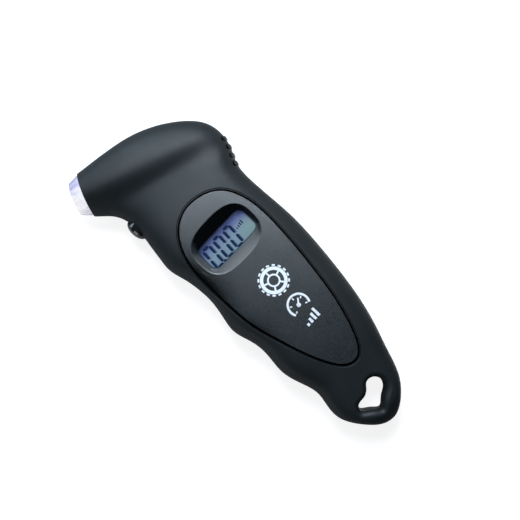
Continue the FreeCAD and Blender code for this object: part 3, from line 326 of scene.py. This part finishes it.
def ink(name, colour, roughness=0.5, gloss=0.5):
    """Printed ink or a driven LCD segment, very slightly uneven."""
    material, tree = new_material(name)
    uneven = noise(tree, 2.5, 3.0)
    paler = tuple(min(1, c * 1.15 + 0.004) for c in colour)
    tint = mix(tree, ramp(tree, uneven, [(0.35, 0.0), (0.75, 0.8)]), colour, paler)
    bumps = bump(tree, noise(tree, 3.5, 2.0), 0.15, 0.00003)
    finish(tree, principled(tree, color=tint, rough=roughness, normal=bumps, spec=gloss))
    return material


def ghost(name, colour, strength):
    """The soft parallax shadow a segment throws on the display's ground."""
    material, tree = new_material(name)
    edge = ramp(tree, noise(tree, 1.5, 2.0), [(0.3, strength * 0.8), (0.7, strength)])
    clear = node(tree, "ShaderNodeBsdfTransparent").outputs[0]
    dark = node(tree, "ShaderNodeBsdfDiffuse", {"Color": (*colour, 1)}).outputs[0]
    finish(tree, node(tree, "ShaderNodeMixShader", {0: edge, 1: clear, 2: dark}).outputs[0])
    return material


def lit_clear(name):
    """The nozzle's clear cone, lit from behind, that light painted as a glow: white, violet on its upper
    side, darker at its edges as painted shade, with random dark flecks in the glow."""
    material, tree = new_material(name)
    low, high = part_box("nozzle_tip")
    where = node(tree, "ShaderNodeSeparateXYZ", {0: node(tree, "ShaderNodeTexCoord").outputs["Object"]})
    up = math_node(tree, "DIVIDE", math_node(tree, "SUBTRACT", where.outputs["Y"], low.y), high.y - low.y)
    drift = math_node(tree, "MULTIPLY", math_node(tree, "SUBTRACT", noise(tree, 0.35, 3.0), 0.5), 0.5)
    tint = ramp(tree, math_node(tree, "ADD", up, drift), [
        (0.10, (0.66, 0.64, 0.74)), (0.35, (0.90, 0.90, 0.94)), (0.62, (0.92, 0.93, 0.98)),
        (0.76, (0.62, 0.63, 0.92)), (0.92, (0.40, 0.41, 0.74))])
    speck = ramp(tree, noise(tree, 0.55, 3.0, 0.6), [(0.30, 0.62), (0.41, 0.92), (0.55, 1.0)])
    # Painted shade: the glow dims towards the cone's outline.
    edge = node(tree, "ShaderNodeLayerWeight", {"Blend": 0.5}).outputs["Facing"]
    rim = ramp(tree, edge, [(0.62, 1.0), (0.92, 0.42)])
    glow = mix(tree, 1.0, mix(tree, 1.0, tint, speck, "MULTIPLY"), rim, "MULTIPLY")
    bumps = bump(tree, noise(tree, 0.8, 2.0), 0.15, 0.0002)
    finish(tree, principled(tree, color=(0.05, 0.05, 0.06), rough=0.12, normal=bumps, glow=glow,
                            glow_strength=0.92))
    return material


def lamp(name, colour, strength):
    """A lit lens or light guide with a slightly uneven glow."""
    material, tree = new_material(name)
    core = ramp(tree, noise(tree, 0.8, 1.0), [(0.3, 0.8), (0.7, 1.0)])
    glow = mix(tree, 1.0, colour, core, "MULTIPLY")
    finish(tree, principled(tree, color=glow, rough=0.2, glow=glow, glow_strength=strength))
    return material


def wire(name, colour):
    """Smooth wire insulation, faintly uneven."""
    material, tree = new_material(name)
    shine = ramp(tree, noise(tree, 1.4, 3.0), [(0.3, 0.3), (0.7, 0.45)])
    tint = mix(tree, ramp(tree, noise(tree, 0.7, 2.0), [(0.3, 0.0), (0.7, 1.0)]), colour,
               tuple(c * 0.75 for c in colour))
    finish(tree, principled(tree, color=tint, rough=shine))
    return material


def dress_nodes():
    """Give every CAD node its material."""
    nickel = metal("nickel_plate", (0.66, 0.65, 0.62))
    brass = metal("brass", (0.72, 0.50, 0.20), 0.26)
    dark_screw = metal("black_zinc", (0.10, 0.10, 0.11), 0.36)
    shell = soft_touch("soft_touch")
    black_rubber = rubber("black_rubber", (0.022, 0.022, 0.024))
    body_black = polished_plastic("component_black", (0.018, 0.018, 0.020))
    finishes = {
        "front_housing": shell, "back_housing": shell, "battery_door": soft_touch("door_plastic", grain=1.6),
        "face_plate": grained_plastic("plate_grain"), "display_lens": window("clear_window"),
        "lcd_panel": display("lcd_ground"), "backlight_panel": lamp("backlight", (0.75, 0.86, 1.0), 0.5),
        "backlight_leds": lamp("edge_lamps", (0.70, 0.80, 1.0), 1.0), "contact_strip": black_rubber,
        "circuit_board": board("solder_mask"), "control_chip": body_black, "timing_crystal": nickel,
        "pressure_sensor": body_black, "air_tube": rubber("silicone", (0.62, 0.62, 0.60), 0.5),
        "nozzle_core": brass, "core_o_ring": black_rubber,
        "nozzle_seal": rubber("seal_rubber", (0.03, 0.03, 0.03)),
        "depressor_pin": brass, "nozzle_tip": lit_clear("clear_tip"),
        "nozzle_led": lamp("white_lamp", (0.92, 0.95, 1.0), 4.0),
        "light_wire_red": wire("red_insulation", (0.42, 0.02, 0.02)),
        "light_wire_black": wire("black_insulation", (0.02, 0.02, 0.02)),
        "button_switch": body_black, "switch_plunger": rubber("plunger_grey", (0.18, 0.18, 0.19), 0.5),
        "mode_button": polished_plastic("button_gloss"), "coin_cell": nickel, "coin_contact_top": nickel,
        "coin_contact_side": nickel, "light_cells": nickel, "lamp_contact_spring": nickel,
        "lamp_contact_plate": nickel, "door_foam": rubber("foam", (0.05, 0.05, 0.055), 0.9),
        "door_screw": dark_screw, "housing_screws": dark_screw, "board_screws": dark_screw,
    }
    for name, obj in nodes.items():
        obj.data.materials.clear()
        obj.data.materials.append(finishes[name])


# ---------------------------------------------------------------- thin pieces laid on a surface

def surface_of(name):
    """A lookup that gives the height of a CAD node's front over a plan point."""
    mesh = nodes[name].data
    tree = BVHTree.FromPolygons([v.co for v in mesh.vertices], [tuple(p.vertices) for p in mesh.polygons])

    def height(x, y):
        hit = tree.ray_cast(Vector((x, y, 0.1)), Vector((0, 0, -1)))
        return hit[0].z
    return height


def strip(row_a, row_b):
    """Quads between two rows of plan points, anticlockwise when row_a is the outer or the right-hand one."""
    return [(row_a[i], row_a[i + 1], row_b[i + 1], row_b[i]) for i in range(len(row_a) - 1)]


def grid_between(row_a, row_b, steps):
    """Rows of quads from one row of plan points to another, so the shape can follow a curved surface."""
    rows = []
    for step in range(steps + 1):
        share = step / steps
        rows.append([a.lerp(b, share) for a, b in zip(row_a, row_b)])
    quads = []
    for a, b in zip(rows, rows[1:]):
        quads += strip(a, b)
    return quads


def laid_piece(name, quads, height, lift, thickness, material):
    """A thin solid made of plan quads, its underside just above a surface of the housing."""
    index, points, faces = {}, [], []

    def corner(p):
        key = (round(p.x, 8), round(p.y, 8))
        if key not in index:
            index[key] = len(points)
            points.append((p.x, p.y, height(p.x, p.y) + lift))
        return index[key]

    for quad in quads:
        face = [corner(p) for p in quad]
        if len(set(face)) > 2:
            faces.append([v for n, v in enumerate(face) if v not in face[:n]])
    count = len(points)
    points += [(x, y, z + thickness) for x, y, z in points]
    edges = {edge: None for face in faces for edge in zip(face, face[1:] + face[:1])}
    solid = [list(reversed(f)) for f in faces] + [[v + count for v in f] for f in faces]
    solid += [[a, b, b + count, a + count] for a, b in edges if (b, a) not in edges]
    mesh = bpy.data.meshes.new(name)
    mesh.from_pydata(points, [], solid)
    mesh.validate()
    mesh.update()
    obj = bpy.data.objects.new(name, mesh)
    scene.collection.objects.link(obj)
    mesh.materials.append(material)
    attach(obj, "housing")


def toward(angle, length):
    """The plan vector of a length at an angle in degrees anticlockwise from +X."""
    return Vector((math.cos(math.radians(angle)), math.sin(math.radians(angle)))) * length


def ring(x, y, inner, outer, rows=2, start=0.0, end=360.0, steps=48):
    """An annular band of plan quads, angles in degrees anticlockwise."""
    def arc(radius):
        return [(Vector((x, y)) + toward(start + (end - start) * i / steps, radius)) * MM
                for i in range(steps + 1)]
    return grid_between(arc(outer), arc(inner), rows)


def bar(x, y, length, width, angle, across=6, along=10):
    """A rectangle of plan quads, centred on x, y, its length along the angle."""
    forward = toward(angle, length / 2)
    side = toward(angle + 90, width / 2)
    centre = Vector((x, y))

    def row(offset):
        return [(centre + offset - forward + forward * (2 * i / along)) * MM for i in range(along + 1)]
    return grid_between(row(-side), row(side), across)


# ---------------------------------------------------------------- display segments and printed marks

def segment(points, width):
    """A seven-segment bar between two plan points in mm, with mitred ends."""
    a, b = (Vector(p) for p in points)
    forward = (b - a).normalized()
    side = Vector((-forward.y, forward.x)) * (width / 2)
    nib = forward * (width / 2)
    left = [a, a + nib + side, b - nib + side, b]
    right = [a, a + nib - side, b - nib - side, b]
    return strip([p * MM for p in right], [p * MM for p in left])


def zero(left, foot, head, width, lean):
    """The six outer segments of a slanted 7-segment digit; no middle bar, so it reads 0."""
    right = left + width
    middle = (foot + head) / 2
    gap = 0.22
    thick = 1.12

    def at(x, y):
        return (x + lean * (y - foot) / (head - foot), y)
    quads = []
    for y in (foot, head):
        quads += segment((at(left + gap, y), at(right - gap, y)), thick)
    for x in (left, right):
        quads += segment((at(x, foot + gap), at(x, middle - gap)), thick)
        quads += segment((at(x, middle + gap), at(x, head - gap)), thick)
    return quads


def display_segments():
    """The lit reading: three zeros, a decimal point, and a small bar icon in place of the unit."""
    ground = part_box("lcd_panel")[1].z

    def glass(x, y):
        return ground
    navy = ink("lcd_segment", (0.002, 0.014, 0.050), gloss=0.1)
    shadow = ghost("lcd_shadow", (0.02, 0.04, 0.10), 0.30)
    foot, head, lean = -4.85, 4.3, 0.6
    digits = []
    for left, width in ((-11.2, 3.5), (-5.2, 3.3), (0.5, 3.3)):
        digits += zero(left, foot, head, width, lean)
    digits += bar(-6.75, -4.75, 0.95, 0.95, 8, 2, 2)
    icon = []
    for step in range(4):
        tall = 0.6 + 0.42 * step
        icon += bar(6.0 + 1.05 * step, 0.4 + tall / 2, 0.55, tall, 0, 1, 1)
    laid_piece("lcd_digits", digits, glass, 0.020 * MM, 0.010 * MM, navy)
    laid_piece("lcd_icon", icon, glass, 0.020 * MM, 0.010 * MM, navy)
    moved = [[p + Vector((0.35, -0.40)) * MM for p in quad] for quad in digits]
    laid_piece("lcd_digit_shadow", moved, glass, 0.006 * MM, 0.004 * MM, shadow)


def plate_marks():
    """Plain pictograms on the plate: a tyre with its tread, a dial with a needle, and rising bars."""
    height = surface_of("face_plate")
    white = ink("plate_print", (0.72, 0.75, 0.79), roughness=0.45)
    lift, thick = 0.02 * MM, 0.015 * MM

    def around(x, y, radius, length, width, angles, across, along):
        """Bars that point outward from a centre, one at each angle."""
        quads = []
        for angle in angles:
            out = toward(angle, radius)
            quads += bar(x + out.x, y + out.y, length, width, angle, across, along)
        return quads

    x, y = 0.9, -24.5
    tyre = ring(x, y, 4.2, 5.6, rows=3) + ring(x, y, 2.0, 2.7)
    tyre += around(x, y, 3.45, 1.6, 0.7, [90 + 72 * spoke for spoke in range(5)], 2, 4)
    tyre += around(x, y, 6.15, 0.7, 1.3, [22.5 * block for block in range(16)], 2, 2)
    laid_piece("plate_mark_tyre", tyre, height, lift, thick, white)

    x, y, first, last = 0.7, -38.5, -30, 210
    dial = ring(x, y, 4.0, 4.9, start=first, end=last)
    dial += around(x, y, 3.2, 1.0, 0.5, range(first, last + 1, 60), 2, 3)
    dial += bar(x + 0.7, y + 0.9, 3.4, 0.7, 50, 2, 6) + ring(x, y, 0.2, 0.9)
    laid_piece("plate_mark_dial", dial, height, lift, thick, white)

    x, y = -2.3, -47.5
    bars = []
    for step in range(4):
        tall = 1.2 + 1.0 * step
        bars += bar(x + 1.9 * step, y + tall / 2, 1.1, tall, 0, 6, 4)
    laid_piece("plate_mark_bars", bars, height, lift, thick, white)


# ---------------------------------------------------------------- stage, light and camera

def seen_and_lit(tree, seen, lit):
    """A strength that differs between what the camera sees and what lights the part."""
    camera = node(tree, "ShaderNodeLightPath").outputs["Is Camera Ray"]
    return math_node(tree, "ADD", math_node(tree, "MULTIPLY", camera, seen - lit), lit)


def floor():
    """A pale table just under the part, clear from below so that the part's back can be seen."""
    base = cad_box[0].z - 0.05 * MM
    side = 1.6
    corners = [(-side, -side, base), (side, -side, base), (side, side, base), (-side, side, base)]
    mesh = bpy.data.meshes.new("floor")
    mesh.from_pydata(corners, [], [(0, 1, 2, 3)])
    obj = bpy.data.objects.new("floor", mesh)
    scene.collection.objects.link(obj)
    material, tree = new_material("table")
    tint = ramp(tree, noise(tree, 0.02, 2.0), [(0.4, 0.30), (0.6, 0.32)])
    table = principled(tree, color=tint, rough=0.9, glow=(1.0, 1.0, 1.0), spec=0.0,
                       glow_strength=seen_and_lit(tree, 0.86, 0.02))
    below = node(tree, "ShaderNodeNewGeometry").outputs["Backfacing"]
    shadow = node(tree, "ShaderNodeLightPath").outputs["Is Shadow Ray"]
    let_through = math_node(tree, "MAXIMUM", below, shadow)
    clear = node(tree, "ShaderNodeBsdfTransparent").outputs[0]
    finish(tree, node(tree, "ShaderNodeMixShader", {0: let_through, 1: table, 2: clear}).outputs[0])
    mesh.materials.append(material)


def softbox(name, location, target, size, power, colour=(1.0, 1.0, 1.0)):
    """A rectangular lamp aimed at a target; metres and watts."""
    light = bpy.data.lights.new(name, "AREA")
    light.shape = "RECTANGLE"
    light.size, light.size_y = size
    light.energy = power
    light.color = colour
    obj = bpy.data.objects.new(name, light)
    obj.location = location
    obj.rotation_euler = (Vector(target) - Vector(location)).to_track_quat("-Z", "Y").to_euler()
    scene.collection.objects.link(obj)


def light_and_camera():
    """Three soft lamps over the head's end, a weak one at each side, one below, and the camera overhead."""
    world = bpy.data.worlds.new("studio")
    world.use_nodes = True
    tree = world.node_tree
    sky = tree.nodes["Background"]
    sky.inputs["Color"].default_value = (0.93, 0.97, 1.0, 1.0)
    tree.links.new(seen_and_lit(tree, 0.95, 0.026), sky.inputs["Strength"])
    scene.world = world
    cool = (0.72, 0.85, 1.0)
    softbox("key", (0.26, 0.31, 0.28), (-0.01, 0.03, 0.01), (0.40, 0.24), 1.4, cool)
    softbox("head_end", (-0.04, 0.40, 0.16), (-0.01, 0.05, 0.013), (0.40, 0.16), 0.8, cool)
    softbox("top", (0.155, 0.195, 0.475), (0.0, 0.0, 0.01), (0.20, 0.20), 3.3, (0.80, 0.90, 1.0))
    softbox("finger_side", (-0.42, -0.10, 0.05), (0.0, -0.02, 0.013), (0.35, 0.10), 0.20)
    softbox("thumb_side", (0.42, -0.05, 0.05), (0.0, -0.02, 0.013), (0.35, 0.10), 0.20)
    softbox("under", (0.12, -0.16, -0.42), (0.0, -0.02, 0.0), (0.30, 0.30), 3.2)
    data = bpy.data.cameras.new("camera")
    data.sensor_width = 36.0
    data.lens = 69.2
    data.clip_start = 0.01
    camera = bpy.data.objects.new("camera", data)
    camera.location = (0.00303, -0.01490, 0.426)
    camera.rotation_euler = (0.0, 0.0, math.radians(-46.5))
    scene.collection.objects.link(camera)
    scene.camera = camera
    scene.view_settings.view_transform = "Standard"


dress_nodes()
display_segments()
plate_marks()
floor()
light_and_camera()
